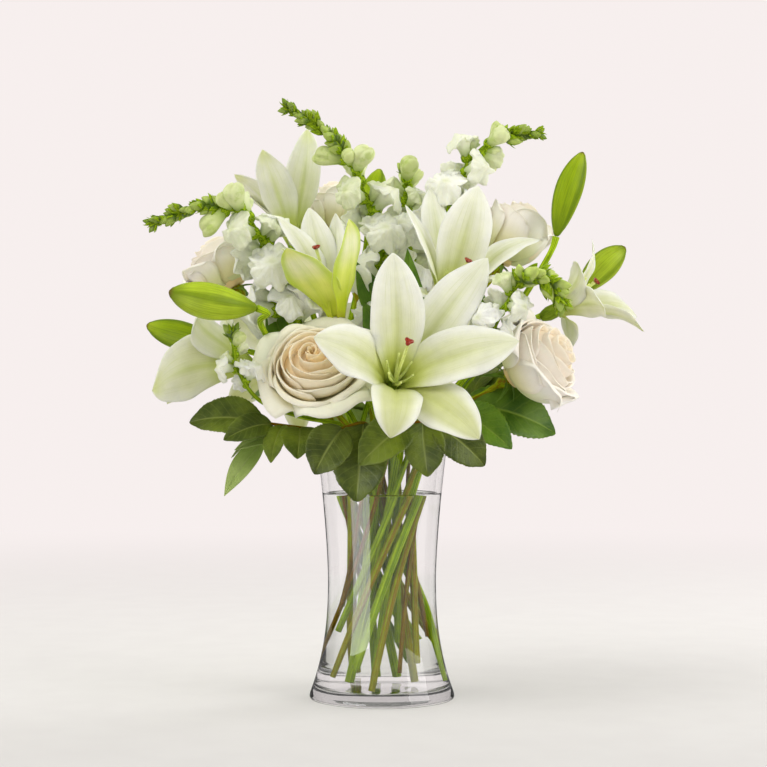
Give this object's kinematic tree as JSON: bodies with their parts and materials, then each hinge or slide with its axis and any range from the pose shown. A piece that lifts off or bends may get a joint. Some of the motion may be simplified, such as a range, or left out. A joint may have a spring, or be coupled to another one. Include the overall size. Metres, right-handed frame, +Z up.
{
  "type": "mixed lily bouquet in a glass vase",
  "caption": "White lilies with roses, snapdragon spikes and mixed foliage, standing in water in a waisted clear glass vase.",
  "frame": {"origin": "middle of the vase's flat bottom, on the surface that it stands on", "axes": "+Z up along the vase's axis, -Y towards the front of the bouquet, +X to the right seen from the front"},
  "size_m": [0.3924, 0.274, 0.4658],
  "materials": {
    "glass": "clear, smooth",
    "water": "clear water",
    "lily_white": "soft satin petal, lime towards the base",
    "lily_heart": "satin, yellow green",
    "stigma_red": "moist, dark red",
    "bud_green": "satin bud skin",
    "stem_green": "satin stem",
    "rose_cream": "soft matte petal",
    "rose_green": "satin leaf",
    "spike_pale": "soft matte floret",
    "salal_green": "waxy leaf",
    "ruscus_green": "satin leaf"
  },
  "bodies": {
    "root": {"lemon_leaf_back": "salal_green", "lemon_leaf_front": "salal_green", "lemon_leaf_front_right": "salal_green", "lemon_leaf_left": "salal_green", "lemon_leaf_right": "salal_green", "lily_back_heart": "lily_heart", "lily_back_left_heart": "lily_heart", "lily_back_left_stigma": "stigma_red", "lily_back_left_tepals": "lily_white", "lily_back_stigma": "stigma_red", "lily_back_tepals": "lily_white", "lily_bud_back_upper": "bud_green", "lily_bud_left_lower": "bud_green", "lily_bud_left_upper": "bud_green", "lily_bud_right_lower": "bud_green", "lily_bud_right_upper": "bud_green", "lily_centre_heart": "lily_heart", "lily_centre_stigma": "stigma_red", "lily_centre_tepals": "lily_white", "lily_front_heart": "lily_heart", "lily_front_stigma": "stigma_red", "lily_front_tepals": "lily_white", "lily_half_open_heart": "lily_heart", "lily_half_open_stigma": "stigma_red", "lily_half_open_tepals": "lily_white", "lily_left_heart": "lily_heart", "lily_left_stigma": "stigma_red", "lily_left_tepals": "lily_white", "lily_right_heart": "lily_heart", "lily_right_stigma": "stigma_red", "lily_right_tepals": "lily_white", "lily_stem_back": "stem_green", "lily_stem_centre": "stem_green", "lily_stem_front": "stem_green", "lily_stem_left": "stem_green", "lily_stem_right": "stem_green", "rose_back_bloom": "rose_cream", "rose_back_stem": "rose_green", "rose_front_bloom": "rose_cream", "rose_front_stem": "rose_green", "rose_right_bloom": "rose_cream", "rose_right_stem": "rose_green", "rose_top_bloom": "rose_cream", "rose_top_stem": "rose_green", "rose_upper_left_bloom": "rose_cream", "rose_upper_left_stem": "rose_green", "rose_upper_right_bloom": "rose_cream", "rose_upper_right_stem": "rose_green", "ruscus_left": "ruscus_green", "snapdragon_centre": "spike_pale", "snapdragon_front_left": "spike_pale", "snapdragon_front_right": "spike_pale", "snapdragon_left": "spike_pale", "snapdragon_top_left": "spike_pale", "snapdragon_top_right": "spike_pale", "vase": "glass", "water": "water"}
  },
  "joints": []
}
